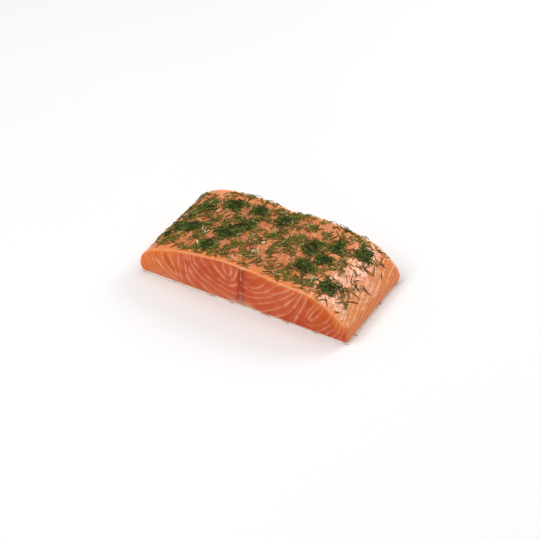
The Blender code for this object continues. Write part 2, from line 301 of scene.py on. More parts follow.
class MeshKit:
    """Small helpers that start, shape and close a mesh."""

    @staticmethod
    def pick(*chosen: bpy.types.Object) -> None:
        """Selects these objects alone, and makes the first of them active."""
        bpy.ops.object.select_all(action="DESELECT")
        for obj in chosen:
            obj.select_set(True)
        bpy.context.view_layer.objects.active = chosen[0]

    @staticmethod
    def pick_parts(obj: bpy.types.Object, kind: str, chosen: np.ndarray) -> None:
        """Selects parts of a mesh, and nothing else in it.

        Args:
            obj: The object, in object mode.
            kind: What the parts are: vertices, edges or polygons.
            chosen: Which of them are selected.
        """
        kinds = ("vertices", "edges", "polygons")
        for name in kinds:
            parts = getattr(obj.data, name)
            parts.foreach_set("select", chosen if name == kind else np.zeros(len(parts), bool))
        bpy.context.tool_settings.mesh_select_mode = tuple(name == kind for name in kinds)

    @staticmethod
    def grid_box(name: str, cuts: tuple[tuple[int, ...], ...]) -> bpy.types.Object:
        """A cube from -1 to 1 whose sides are cut into even grids.

        Args:
            name: The object's name.
            cuts: For each axis, how many cuts each round of subdividing makes in its edges.

        Returns:
            The object, which is the active one.
        """
        bpy.ops.mesh.primitive_cube_add(size=2)
        obj = bpy.context.object
        obj.name = obj.data.name = name
        for axis, rounds in enumerate(cuts):
            for number in rounds:
                first, second = MeshKit.places(obj)[MeshKit.edge_ends(obj)].transpose(1, 0, 2)
                MeshKit.pick_parts(obj, "edges", np.abs(first - second)[:, axis] > 1e-6)
                bpy.ops.object.mode_set(mode="EDIT")
                bpy.ops.mesh.subdivide(number_cuts=number)
                bpy.ops.object.mode_set(mode="OBJECT")
        return obj

    @staticmethod
    def read(parts: bpy.types.bpy_prop_collection, key: str, width: int, kind: type) -> np.ndarray:
        """What each of a mesh's parts keeps under a key, one row each."""
        found = np.empty(len(parts) * width, kind)
        parts.foreach_get(key, found)
        return found.reshape(-1, width)

    @staticmethod
    def places(obj: bpy.types.Object) -> np.ndarray:
        """The mesh's vertices, one row each."""
        return MeshKit.read(obj.data.vertices, "co", 3, np.float32).astype(float)

    @staticmethod
    def normals(obj: bpy.types.Object) -> np.ndarray:
        """The directions that the mesh's vertices face, one row each."""
        return MeshKit.read(obj.data.vertex_normals, "vector", 3, np.float32).astype(float)

    @staticmethod
    def edge_ends(obj: bpy.types.Object) -> np.ndarray:
        """The numbers of the two vertices of each of the mesh's edges."""
        return MeshKit.read(obj.data.edges, "vertices", 2, np.int32)

    @staticmethod
    def place(obj: bpy.types.Object, places: np.ndarray) -> None:
        """Moves the mesh's vertices to these places, one row each."""
        obj.data.vertices.foreach_set("co", places.astype(np.float32).ravel())
        obj.data.update()

    @staticmethod
    def refill_side(obj: bpy.types.Object, inside: np.ndarray) -> None:
        """Makes one face of a flat side that needs no grid.

        Args:
            obj: The object.
            inside: Which vertices lie on that side, its border left out.
        """
        MeshKit.pick(obj)
        MeshKit.pick_parts(obj, "vertices", inside)
        bpy.ops.object.mode_set(mode="EDIT")
        bpy.ops.mesh.delete(type="VERT")
        bpy.ops.mesh.select_all(action="DESELECT")
        bpy.ops.mesh.select_non_manifold()
        bpy.ops.mesh.edge_face_add()
        bpy.ops.mesh.select_all(action="SELECT")
        bpy.ops.mesh.normals_make_consistent(inside=False)
        bpy.ops.object.mode_set(mode="OBJECT")

    @staticmethod
    def store(obj: bpy.types.Object, name: str, values: np.ndarray) -> None:
        """Keeps a number for each vertex under a name, which the finish reads."""
        made = obj.data.attributes.new(name, "FLOAT", "POINT")
        made.data.foreach_set("value", values.astype(np.float32))

    @staticmethod
    def smooth(obj: bpy.types.Object, sharp_from: float = 50) -> None:
        """Shades the object smooth, but for edges sharper than an angle in degrees."""
        MeshKit.pick(obj)
        bpy.ops.object.shade_smooth_by_angle(angle=math.radians(sharp_from))

    @staticmethod
    def from_arrays(name: str, places: np.ndarray, faces: list) -> bpy.types.Object:
        """An object from plain arrays.

        Args:
            name: The object's name.
            places: The vertices, one row each.
            faces: For each face, its vertices' numbers.

        Returns:
            The object, in the scene.
        """
        mesh = bpy.data.meshes.new(name)
        mesh.from_pydata(places.tolist(), [], faces)
        mesh.update()
        obj = bpy.data.objects.new(name, mesh)
        bpy.context.scene.collection.objects.link(obj)
        return obj


class Value:
    """A shader socket that Python's operators act on, each through a Math node."""

    def __init__(self, tree: "Tree", socket: bpy.types.NodeSocket) -> None:
        """Wraps a socket of a tree."""
        self.tree, self.socket = tree, socket

    def math(self, operation: str, *others: object, first: object = None) -> "Value":
        """One Math node.

        Args:
            operation: The node's operation.
            others: What comes after this value, numbers or values.
            first: What comes before it, where the order is turned round.

        Returns:
            The node's result.
        """
        terms = (self, *others) if first is None else (first, self, *others)
        made = self.tree.node("ShaderNodeMath", {"operation": operation}, dict(enumerate(terms)))
        return Value(self.tree, made.outputs[0])

    def __add__(self, other: object) -> "Value":
        """This value plus another."""
        return self.math("ADD", other)

    def __sub__(self, other: object) -> "Value":
        """This value less another."""
        return self.math("SUBTRACT", other)

    def __mul__(self, other: object) -> "Value":
        """This value times another."""
        return self.math("MULTIPLY", other)

    def __truediv__(self, other: object) -> "Value":
        """This value over another."""
        return self.math("DIVIDE", other)

    def __rsub__(self, other: object) -> "Value":
        """A number less this value."""
        return self.math("SUBTRACT", first=other)

    def __rtruediv__(self, other: object) -> "Value":
        """A number over this value."""
        return self.math("DIVIDE", first=other)

    def __pow__(self, other: object) -> "Value":
        """This value to a power."""
        return self.math("POWER", other)

    def __abs__(self) -> "Value":
        """This value without its sign."""
        return self.math("ABSOLUTE")

    __radd__ = __add__
    __rmul__ = __mul__

    def step(self, low: float, high: float) -> "Value":
        """A soft step over this value.

        Args:
            low, high: Where the step starts and where it is complete. Low may be the larger one.

        Returns:
            0 at low, 1 at high, with a smooth change between them.
        """
        made = self.tree.node(
            "ShaderNodeMapRange",
            {"interpolation_type": "SMOOTHSTEP"},
            {0: self, 1: low, 2: high, 3: 0.0, 4: 1.0},
        )
        return Value(self.tree, made.outputs[0])


class Tree:
    """One material's node tree, built by a few short calls. Patterns are measured in millimetres."""

    def __init__(self, name: str, **constants: object) -> None:
        """Starts a material.

        Args:
            name: The material's name.
            constants: Values of the shader's own sockets, named with _ for a space.
        """
        self.material = bpy.data.materials.new(name)
        self.material.use_nodes = True
        self.nodes = self.material.node_tree.nodes
        self.links = self.material.node_tree.links
        self.shader = self.nodes["Principled BSDF"]
        for key, value in constants.items():
            self.feed(self.shader.inputs[key.replace("_", " ")], value)
        coordinates = self.node("ShaderNodeTexCoord").outputs["Object"]
        scaled = self.node("ShaderNodeVectorMath", {"operation": "SCALE"}, {0: coordinates, 3: 1 / MM})
        self.place = scaled.outputs[0]

    def node(
        self, kind: str, settings: dict | None = None, inputs: dict | None = None
    ) -> bpy.types.Node:
        """Adds a node.

        Args:
            kind: The node's type.
            settings: Its settings, with a ramp's stops under that name.
            inputs: For a socket's name or number, its value or what links to it.

        Returns:
            The node.
        """
        made = self.nodes.new(kind)
        for name, value in (settings or {}).items():
            if name == "stops":
                elements = made.color_ramp.elements
                while len(elements) < len(value):
                    elements.new(1.0)
                for element, (at, colour) in zip(elements, value):
                    element.position, element.color = at, colour
            else:
                setattr(made, name, value)
        for key, value in (inputs or {}).items():
            self.feed(made.inputs[key], value)
        return made

    def feed(self, socket: bpy.types.NodeSocket, value: object) -> None:
        """Gives a socket a value, or links what makes it."""
        if isinstance(value, Value):
            value = value.socket
        if isinstance(value, bpy.types.NodeSocket):
            self.links.new(value, socket)
        else:
            socket.default_value = value

    def noise(
        self, size: float, detail: float = 2.0, stretch: tuple = (1, 1, 1), seed: float = 0.0
    ) -> Value:
        """Soft random values.

        Args:
            size: Size of the pattern's spots in mm.
            detail: How many finer layers it has.
            stretch: How much longer the spots are along each axis.
            seed: Moves the pattern.

        Returns:
            A value from 0 to 1, mostly near the middle.
        """
        scale = tuple(1 / (size * part) for part in stretch)
        inputs = {"Vector": self.place, "Location": (seed,) * 3, "Scale": scale}
        moved = self.node("ShaderNodeMapping", {}, inputs)
        inputs = {"Vector": moved.outputs[0], "Scale": 1.0, "Detail": detail}
        return Value(self, self.node("ShaderNodeTexNoise", {}, inputs).outputs[0])

    def attribute(self, name: str) -> Value:
        """The number that each vertex keeps under this name."""
        return Value(self, self.node("ShaderNodeAttribute", {"attribute_name": name}).outputs["Fac"])

    def mix(self, share: object, first: object, second: object) -> bpy.types.NodeSocket:
        """The socket of a colour between two, with this share of the second."""
        made = self.node("ShaderNodeMix", {"data_type": "RGBA"}, {0: share, 6: first, 7: second})
        return made.outputs[2]

    def coated(self, base: object, *coats: tuple[object, object]) -> bpy.types.NodeSocket:
        """A colour under coats of others.

        Args:
            base: The colour at the bottom.
            coats: For each coat its share, from 0 to 1, and its colour.

        Returns:
            The colour's socket.
        """
        for share, colour in coats:
            base = self.mix(share, base, colour)
        return base

    def bump(self, depth: float, height: Value, below: object = None) -> bpy.types.NodeSocket:
        """A fine relief.

        Args:
            depth: How deep the relief is where height goes from 0 to 1, in mm.
            height: The relief.
            below: The relief that this one lies on.

        Returns:
            The normal's socket.
        """
        inputs = {"Distance": depth * MM, "Height": height, "Strength": 1.0}
        if below is not None:
            inputs["Normal"] = below
        return self.node("ShaderNodeBump", {}, inputs).outputs[0]

    def dress(self, obj: bpy.types.Object, **sockets: object) -> None:
        """Feeds the shader and gives the material to an object.

        Args:
            obj: The object.
            sockets: What feeds the shader's sockets, named with _ for a space.
        """
        for key, value in sockets.items():
            self.feed(self.shader.inputs[key.replace("_", " ")], value)
        obj.data.materials.clear()
        obj.data.materials.append(self.material)


class Sheets:
    """The pale sheets of one half of the cut, as a smooth layer number through their measured lines."""

    step: float = 2.5
    softness: float = 5.0
    batch: int = 4000

    def __init__(self, lines: tuple) -> None:
        """Fits a thin plate through the lines.

        Args:
            lines: Pairs of a layer number and the points x and z, in mm, that it passes through.
        """
        places, numbers = [], []
        for number, points in lines:
            curve = self.curve(points)
            places += curve
            numbers += [number] * len(curve)
        self.centres = np.array(places)
        count = len(places)
        plane = np.column_stack([np.ones(count), self.centres])
        system = np.zeros((count + 3, count + 3))
        system[:count, :count] = self.bend(self.centres) + self.softness * np.eye(count)
        system[:count, count:] = plane
        system[count:, :count] = plane.T
        self.weights = np.linalg.solve(system, np.array(numbers + [0, 0, 0], float))

    def curve(self, points: tuple) -> list:
        """A smooth curve through points.

        Args:
            points: The points, x and z each.

        Returns:
            Points along the curve, about one step apart.
        """
        ends = (points[0], *points, points[-1])
        found = []
        for before, start, end, after in zip(ends, ends[1:], ends[2:], ends[3:]):
            count = max(1, round(math.dist(start, end) / self.step))
            for t in (k / count for k in range(count)):
                found.append([self.between(t, *four) for four in zip(before, start, end, after)])
        return [*found, list(points[-1])]

    @staticmethod
    def between(t: float, a: float, b: float, c: float, d: float) -> float:
        """What a Catmull-Rom curve through four values gives between b and c, at a share t."""
        square = (2 * a - 5 * b + 4 * c - d) * t**2
        return b + ((c - a) * t + square + (3 * b - a - 3 * c + d) * t**3) / 2

    def bend(self, places: np.ndarray) -> np.ndarray:
        """How each centre bends the plate at each place."""
        square = ((places[:, None] - self.centres[None]) ** 2).sum(2)
        return 0.5 * square * np.log(square + 1e-9)

    def number(self, x: np.ndarray, z: np.ndarray) -> np.ndarray:
        """The layer number.

        Args:
            x, z: Places on the near cut, in mm.

        Returns:
            The number at each place, which is whole on a sheet.
        """
        places = np.column_stack([x, z])
        parts = []
        for start in range(0, len(places), self.batch):
            some = places[start : start + self.batch]
            plane = np.column_stack([np.ones(len(some)), some])
            parts.append(self.bend(some) @ self.weights[:-3] + plane @ self.weights[-3:])
        return np.concatenate(parts)


@dataclass(frozen=True)
class FleshFinish:
    """Cured salmon: orange muscle with pale sheets, wet and a little translucent, with glare, glints and
    rim highlights painted into its colour.
    """

    pink: tuple = paint(212, 90, 50)
    orange: tuple = paint(234, 120, 30)
    deep: tuple = paint(188, 54, 14)
    salmon: tuple = paint(224, 130, 90)
    wall: tuple = paint(236, 142, 82)
    seam_red: tuple = paint(164, 34, 12)
    top_pink: tuple = paint(216, 132, 88)
    top_orange: tuple = paint(222, 126, 58)
    top_dull: tuple = paint(168, 100, 52)
    top_glare: tuple = paint(234, 172, 138)
    # Painted glare: the pale colour laid where the wet top would reflect the lights
    top_speck: tuple = paint(126, 78, 36)
    # Sheet: the pale sheets, and the painted highlight along the cuts' top edges
    sheet: tuple = paint(246, 188, 146)
    halo: tuple = paint(234, 146, 102)
    # Cream: the sheets' colour on the top, and the painted highlight along the rims
    cream: tuple = paint(248, 208, 168)
    fat: tuple = paint(232, 180, 148)
    grey: tuple = paint(168, 118, 102)
    sheet_half_width: float = 0.38
    cut_roughness: float = 0.42
    top_roughness: float = 0.26

    def dress(self, obj: bpy.types.Object) -> None:
        """Gives the flesh its material.

        Args:
            obj: The flesh, whose vertices keep what Flesh.mark works out.
        """
        tree = Tree(
            "cured_flesh",
            Subsurface_Weight=0.30,
            Subsurface_Radius=(1.0, 0.32, 0.16),
            Subsurface_Scale=2.0 * MM,
            Specular_IOR_Level=0.12,
            Coat_Roughness=0.10,
            Coat_IOR=1.40,
        )
        names = ("cut", "rim", "seam", "ink", "warm", "flank")
        cut, rim, seam, ink, warm, flank = (tree.attribute(name) for name in names)
        broad = tree.noise(24, 2, seed=3.0)
        mottle = tree.noise(5.5, 3, seed=11.0)
        fine = tree.noise(1.3, 3, seed=7.0)
        # Painted glints: small stretched flecks of the wet top's sheen
        glints = tree.noise(1.9, 3, (2.2, 1.0, 1.0), 41.0)

        layer = tree.attribute("layer") + (tree.noise(7, 2, seed=19.0) - 0.5) * 0.16
        off = abs((layer + 0.5).math("FRACT") - 0.5) * tree.attribute("gap")
        patchy = (tree.noise(7, 3, seed=23.0) * 2.8 - 0.85).math("MINIMUM", 1.0)
        strength = ink * patchy.math("MAXIMUM", 0.12)
        width = 1.2 - cut * 0.2 + cut * seam.step(-25.0, -60.0) * 0.5
        width = (tree.noise(4, 2, seed=29.0) + 0.5) * width
        off = off / (self.sheet_half_width * width)
        line = off.step(2.5, 0.0) ** 1.4 * strength
        halo = off.step(9.0, 0.5) * cut * strength * 0.42
        bands = (layer * math.tau).math("SINE").step(0.0, 1.0) * ink

        warmth = rim * (mottle * 1.1 + 0.25) + (broad - 0.5) * 1.4 + warm
        muscle = tree.coated(
            self.pink,
            (warmth.step(0.1, 1.1), self.orange),
            (mottle.step(0.35, 0.75) * 0.36, self.deep),
            (tree.attribute("low") * (broad + mottle * 0.4).step(0.45, 0.85), self.salmon),
            (tree.attribute("ruddy") * (mottle + 0.3), self.deep),
            (tree.attribute("red") * (mottle + 0.45).math("MINIMUM", 1.0), self.seam_red),
            (flank * (mottle + 0.4), self.wall),
            (bands * (flank * 0.4 + 0.42), self.deep),
            (tree.attribute("grey"), self.grey),
        )
        top = tree.coated(
            self.top_pink,
            ((mottle + warm * 0.25).step(0.36, 0.66), self.top_orange),
            (tree.attribute("stain") * (broad + fine * 0.5).step(0.45, 0.85) * 0.6, self.top_dull),
            # Painted glare on the wet top, over the pale share
            (tree.attribute("pale") * (mottle + fine - 0.35).step(0.45, 0.8), self.top_glare),
            # Painted glints, small pale flecks of sheen
            (glints.step(0.53, 0.70) * 0.5, self.top_glare),
            (bands * warm * 0.5, self.orange),
            (tree.noise(1.0, 2, seed=53.0).step(0.60, 0.70) * 0.5, self.top_speck),
            (rim * (mottle + 0.35), self.orange),
        )
        thread = abs(seam + (tree.noise(9, 2, seed=37.0) - 0.5) * 2.0).step(0.9, 0.0)
        thread = thread * cut * tree.noise(3, 2, seed=43.0).step(0.38, 0.66)
        body = tree.coated(
            top,
            (cut, muscle),
            # Painted highlight: cream along the tops of the cuts and of the back end, where the rims
            # catch the light
            (tree.attribute("edge") * (fine * 0.6 + mottle).step(0.45, 0.80), self.cream),
            (fine.step(0.42, 0.75) * 0.06, self.sheet),
            (halo, self.halo),
            (line * 0.68, tree.mix(cut, self.cream, self.sheet)),
            # Painted highlight in a broken line along the cuts' top edges
            (tree.attribute("lip") * (fine * 0.5 + broad).step(0.60, 0.90), self.sheet),
            (tree.attribute("fat") * (mottle + 0.3).math("MINIMUM", 1.0), self.fat),
            (thread * 0.34, self.sheet),
        )

        rough = self.top_roughness + (self.cut_roughness - self.top_roughness) * cut
        relief = tree.bump(0.20, fine * (1 - cut * 0.75))
        relief = tree.bump(0.50, tree.noise(3.2, 2, seed=31.0) * (1 - cut * 0.84), relief)
        tree.dress(
            obj,
            Base_Color=body,
            Roughness=rough + (fine - 0.5) * 0.16,
            Coat_Weight=(0.80 - cut * 0.76) * (1 - tree.attribute("dry") * 0.6),
            Normal=relief,
        )


@dataclass
class Flesh:
    """The block of muscle: two straight cuts, a domed top and a flat foot on the skin."""

    rim_radius: float = 1.1 * MM
    floor: float = 1.22 * MM
    crowding: float = 0.72
    cuts: tuple = ((99, 2), (47, 2), (47,))
    sheet_slant: float = 0.22
    end_slant: float = 0.20
    midline_foot: tuple = (-0.8, 3.7)
    midline_lean: float = 0.09
    wall_sheets: float = 0.15
    top_relief: float = 0.16 * MM
    sheet_relief: float = 0.10 * MM
    cut_relief: float = 0.05 * MM
    faded: tuple = ((-30, 16, 5), (15, 14, 7), (60, 5, 8))
    ruddy_places: tuple = ((-30, 23, 20, 8), (7, 22, 8, 10))

    def build(self) -> bpy.types.Object:
        """Builds the flesh.

        Returns:
            The finished piece.
        """
        obj = MeshKit.grid_box("cured_flesh", self.cuts)
        a, b, c = MeshKit.places(obj).T
        u, v, level = crowd(a, self.crowding), crowd(b, self.crowding), (c + 1) / 2
        on_top = c > 1 - 1e-5
        x, y = FORM.plan(u, v, level, FORM.wall_inset(level))
        inset = FORM.wall_inset(np.ones_like(u))
        rim_x, rim_y = FORM.plan(u, v, np.ones_like(u), inset)
        height = FORM.top(rim_x, rim_y)
        from_end = FORM.length / 2 - inset - np.abs(rim_x)
        from_side = (1 - np.abs(v)) * (FORM.depth / 2 - inset - FORM.corner_cut(rim_x, inset))
        from_rim = from_end * from_side / (from_end + from_side + 1e-9)
        reach = np.clip(self.rim_radius - from_rim, 0, None)
        drop = self.rim_radius - np.sqrt(np.clip(self.rim_radius**2 - reach**2, 0, None))
        wall = self.floor + level * (height - self.rim_radius - self.floor)
        z = np.where(on_top, height - drop, wall)
        MeshKit.place(obj, np.column_stack([x, y, z]))
        MeshKit.refill_side(obj, (c < -1 + 1e-5) & (np.abs(a) < 1 - 1e-5) & (np.abs(b) < 1 - 1e-5))
        self.mark(obj)
        MeshKit.smooth(obj, 60)
        FleshFinish().dress(obj)
        return obj

    def mark(self, obj: bpy.types.Object) -> None:
        """Works out the muscle's layers, keeps them for the finish and gives them their relief.

        The coordinates x, y and z and the distances from them are in mm, like the tables above.

        Args:
            obj: The flesh, in place.
        """
        places = MeshKit.places(obj)
        normals = MeshKit.normals(obj)
        x, y, z = (places / MM).T
        depth, length, floor = FORM.depth / MM, FORM.length / MM, self.floor / MM
        middle = self.midline_foot[0] + self.midline_lean * (z - self.midline_foot[1])
        seam, off_middle = x - middle, np.abs(x - middle)
        flank = smooth_step(0.4, 0.8, np.abs(normals[:, 0]))
        cut = 1 - smooth_step(0.25, 0.65, normals[:, 2])
        walls = cut > 0.5
        layer = self.layers(x, y, z, middle) + self.wall_sheets * flank * z
        gap = self.layer_gap(obj, places / MM, layer, x < middle)
        height = FORM.top(places[:, 0], places[:, 1]) / MM
        below_rim = np.where(walls, height - z, 0)
        to_near, to_far = y + depth / 2, depth / 2 - FORM.far_cut_lean / MM - y
        to_cut = np.minimum(to_near, to_far)
        near = smooth_step(3, 1, to_near)
        tip, back_end = smooth_step(50, 72, x), smooth_step(-66, -80, x)

        rim_on_top = hill(to_cut / 4.0) * smooth_step(0.3, 0.9, to_cut)
        rim = np.where(walls, hill(below_rim / (3.0 + 1.4 * smooth_step(15, 60, x))), rim_on_top)
        ink = smooth_step(1.2, 4.0, off_middle) * smooth_step(0.7, 1.6, gap)
        ink *= np.where(walls, 1.0, 0.25 + 0.75 * smooth_step(40, 58, x))
        for at_x, wide, high in self.faded:
            ink *= 1 - 0.7 * hill((x - at_x) / wide, below_rim / high) * walls
        ink *= 1 - 0.5 * smooth_step(0.5, 0.9, -normals[:, 0])
        ink *= 1 - cut * (0.40 * tip + 0.7 * back_end * (1 - flank))
        fat = hill((z - floor) / 0.5) * 0.7
        for at_x, at_z, wide, high in SEAM_FAT:
            fat += near * hill((x - at_x) / wide, (z - at_z) / high)
        # Painted glare: pale over the right third of the top and in the wet patches, where the sheen
        # would catch the lights
        pale = 0.35 * smooth_step(38, 52, x) * (1 - 0.7 * smooth_step(60, 72, x))
        for at_x, at_y, radius in GLARE_PATCHES:
            pale += 0.8 * hill((x - at_x) / radius, (y - at_y) / radius)
        ruddy = smooth_step(30, 55, x)
        for at_x, at_z, wide, high in self.ruddy_places:
            ruddy = ruddy + hill((x - at_x) / wide, (z - at_z) / high)
        ruddy = np.clip(ruddy * (1 - rim) * (1 - flank), 0, 1)
        far_left = 0.9 * smooth_step(10, 26, y) * smooth_step(-20, -45, x)
        wedge = 0.5 + 6.0 * np.exp((1.2 - z) / 4.2) - np.abs(seam - 0.6)
        # Painted highlight along the rims: the far cut, both cuts' top edges and the back end
        rims = hill(to_far / 2.4) + 0.7 * (1 - cut) * hill(to_cut / 1.1)
        rims += 0.5 * hill((x + length / 2) / 2.6)
        # Shares from 0 to 1, but for layer, gap and seam. Ink is how strongly the sheets show, flank
        # marks the walls at both ends, and rim, lip and edge lie along the top of a cut. Lip and edge
        # are painted highlights there, and pale is painted glare on the top.
        kept = {
            "layer": layer,
            "gap": gap,
            "ink": ink,
            "cut": cut,
            "rim": rim,
            "seam": seam,
            "warm": smooth_step(30, 75, np.abs(x)) * 0.8 + 0.45 * cut * (tip + back_end),
            "red": cut * hill(off_middle / 3.2) * 0.95,
            "ruddy": ruddy * (0.55 + 0.45 * tip),
            "grey": near * smooth_step(12, 8, z) * smooth_step(0, 1.4, wedge) * 0.85,
            "flank": cut * flank * 0.62,
            "fat": fat,
            "dry": smooth_step(-48, -72, x),
            "stain": smooth_step(62, 38, np.abs(x + 20)) * smooth_step(3, 10, to_cut) * (1 - far_left),
            # Painted glare on the wet top
            "pale": np.clip(pale, 0, 1),
            "edge": smooth_step(2.2, 0.8, height - z) * np.clip(rims, 0, 1),
            # Painted highlight just under the top edge of a cut
            "lip": cut * hill(below_rim / 0.9) * 0.55,
            "low": cut * hill((z - 3) / 7) * smooth_step(30, -10, x) * smooth_step(-84, -68, x) * 0.8,
        }
        for name, values in kept.items():
            MeshKit.store(obj, name, values)
        free = smooth_step(floor + 0.5, floor + 3, z)
        line = np.clip(1 - np.abs((layer + 0.5) % 1 - 0.5) * gap / 0.8, 0, 1) * ink
        swell = field_noise(places, 3.4 * MM, 5.0) + 0.5 * field_noise(places, 1.4 * MM, 9.0)
        wander = field_noise(places, 9 * MM, 13.0) * 0.10 * MM
        relief = (1 - cut) * (self.top_relief * swell - self.sheet_relief * line)
        relief += cut * (self.cut_relief * swell + 0.5 * self.cut_relief * line) + wander
        MeshKit.place(obj, places + normals * (relief * free)[:, None])

    def layers(self, x: np.ndarray, y: np.ndarray, z: np.ndarray, middle: np.ndarray) -> np.ndarray:
        """The muscle's layer numbers, with the sheets slanting from the near cut to the far one.

        Args:
            x, y, z: Places in mm.
            middle: X of the seam between the two halves, at each place.

        Returns:
            The number at each place, which is whole on a sheet.
        """
        slant = self.sheet_slant * (1 - smooth_step(15, 78, -x))
        slant = (slant + self.end_slant * smooth_step(45, 75, x)) * (y + FORM.depth / MM / 2)
        back, belly = Sheets(BACK_SHEETS), Sheets(BELLY_SHEETS)
        return np.where(x < middle, back.number(x - slant, z), belly.number(x + slant, z))

    @staticmethod
    def layer_gap(
        obj: bpy.types.Object, places: np.ndarray, layer: np.ndarray, side: np.ndarray
    ) -> np.ndarray:
        """How far apart whole layer numbers lie on the surface.

        Args:
            obj: The flesh.
            places: Its vertices in mm.
            layer: Their layer numbers.
            side: Which half each belongs to.

        Returns:
            The gap in mm at each vertex.
        """
        first, second = MeshKit.edge_ends(obj).T
        slope = (layer[first] - layer[second]) ** 2
        slope /= ((places[first] - places[second]) ** 2).sum(1) + 1e-12
        slope = np.where(side[first] == side[second], slope, 0)
        total = np.bincount(first, slope, len(places)) + np.bincount(second, slope, len(places))
        count = np.bincount(first, minlength=len(places)) + np.bincount(second, minlength=len(places))
        return 1 / np.sqrt(2 * total / np.maximum(count, 1) + 1e-4)


@dataclass(frozen=True)
class SkinFinish:
    """Scaly skin: silver under the belly, slate grey under the back, with a pale fatty edge."""

    silver: tuple = paint(230, 230, 228)
    back: tuple = paint(88, 96, 98)
    seam: tuple = paint(120, 118, 110)
    fat: tuple = paint(246, 236, 222)
    brown: tuple = paint(178, 146, 122)
    roughness: float = 0.34

    def dress(self, obj: bpy.types.Object) -> None:
        """Gives the skin its material.

        Args:
            obj: The skin, whose vertices keep scale, under and back.
        """
        tree = Tree("scaly_skin", Specular_IOR_Level=0.5, Coat_Weight=0.3, Coat_Roughness=0.2)
        scale, under, back = (tree.attribute(name) for name in ("scale", "under", "back"))
        blotch = tree.noise(6, 3, seed=5.0)
        fine = tree.noise(1.8, 3, seed=9.0)
        shell = tree.coated(
            self.silver,
            ((back + (blotch - 0.5) * 0.5).step(0.25, 0.85), self.back),
            (scale.step(0.45, 0.0) * 0.6, self.seam),
        )
        body = tree.coated(
            self.fat,
            (fine.step(0.40, 0.70), self.silver),
            ((blotch + fine * 0.3).step(0.66, 0.82) * 0.7, self.brown),
            (under, shell),
        )
        tree.dress(
            obj,
            Base_Color=body,
            Metallic=under * 0.35,
            Roughness=self.roughness + (fine - 0.5) * 0.25,
            Normal=tree.bump(0.08, fine + scale * 0.6),
        )


@dataclass
class Skin:
    """The thin skin under the flesh, with an uneven edge, one loose corner and rows of scales."""

    cuts: tuple = ((99, 2), (47, 2), (3,))
    crowding: float = 0.55
    scale_length: float = 3.6
    scale_width: float = 3.2
    scale_overlap: float = 0.62
    scale_relief: float = 0.12 * MM
    tatter: float = 0.35 * MM
    tatter_size: float = 1.3 * MM
    unevenness: float = 0.25 * MM
    uneven_size: float = 2.1 * MM
    rise_width: float = 2.2 * MM
    edge_thickness: float = 0.55 * MM
    near_overhang: float = 0.35
    far_overhang: float = 0.7
    flap: float = 1.7 * MM

    def build(self) -> bpy.types.Object:
        """Builds the skin.

        Returns:
            The finished piece.
        """
        obj = MeshKit.grid_box("scaly_skin", self.cuts)
        a, b, c = MeshKit.places(obj).T
        u, v = crowd(a, self.crowding), crowd(b, self.crowding)
        rim_share = np.maximum(np.abs(u), np.abs(v))
        edge_u, edge_v = u / np.maximum(rim_share, 1e-9), v / np.maximum(rim_share, 1e-9)
        around = np.column_stack([edge_u * FORM.length, edge_v * FORM.depth, 0 * u])
        wander = FORM.skin_raggedness * field_noise(around, FORM.skin_rag_size)
        wander += self.tatter * field_noise(around, self.tatter_size, 3.0)
        to_corner = np.hypot((1 - edge_u) * FORM.length, (1 - edge_v) * FORM.depth) / 2
        flap = self.flap * np.clip(1 - to_corner / FORM.skin_flap_reach, 0, 1)
        near = smooth_step(-0.8, -1.0, edge_v)
        side = self.far_overhang + (self.near_overhang - self.far_overhang) * near
        side = side + (1 - side) * smooth_step(0.8, 1.0, edge_u)
        outline = FORM.foot_inset - FORM.skin_overhang * side - wander - flap
        near_edge = smooth_step(0.9, 1.0, rim_share)
        inset = near_edge * outline + (1 - near_edge) * FORM.foot_inset
        x, y = FORM.plan(u, v, np.zeros_like(u), inset)
        in_from_edge = (1 - rim_share) * FORM.depth / 2
        rise = smooth_step(0, self.rise_width, in_from_edge)
        thick = self.edge_thickness + (FORM.skin_thickness - self.edge_thickness) * rise
        thick += (1 - rise) * self.unevenness * field_noise(around, self.uneven_size, 8.0)
        z = (c + 1) / 2 * thick
        MeshKit.place(obj, np.column_stack([x, y, z]))
        hidden = (c > 1 - 1e-5) & (rim_share < 0.93)
        MeshKit.refill_side(obj, hidden)
        self.mark(obj)
        MeshKit.smooth(obj, 60)
        SkinFinish().dress(obj)
        return obj

    def mark(self, obj: bpy.types.Object) -> None:
        """Raises the scales a little on the underside and keeps them for the finish.

        Args:
            obj: The skin, in place.
        """
        places = MeshKit.places(obj)
        x, y, z = (places / MM).T
        row = np.floor(x / (self.scale_width / 2))
        best = np.zeros_like(x)
        for k in (-1, 0, 1):
            lane = row + k
            centre = (lane + 0.5) * self.scale_width / 2
            phase = y / self.scale_length + 0.5 * (lane % 2)
            cell = np.floor(phase)
            along = (phase - cell - 0.5) * self.scale_length
            reach = np.hypot((x - centre) / self.scale_width, along / self.scale_length)
            best = np.maximum(best, np.clip(1 - reach / self.scale_overlap, 0, 1))
        under = 1 - smooth_step(0.05, 0.3, z)
        inner = smooth_step(1.5, 4, FORM.depth / 2 / MM - np.abs(y))
        inner *= smooth_step(1.5, 4, FORM.length / 2 / MM - np.abs(x))
        MeshKit.store(obj, "scale", best)
        MeshKit.store(obj, "under", under)
        MeshKit.store(obj, "back", smooth_step(30, -75, x))
        z_new = places[:, 2] + (z < 0.05) * inner * (1 - np.sqrt(best)) * self.scale_relief
        MeshKit.place(obj, np.column_stack([places[:, 0], places[:, 1], z_new]))


class Growth(Enum):
    """How a piece of chopped dill is branched."""

    THREAD = 1
    FORK = 2
    SPRIG = 3


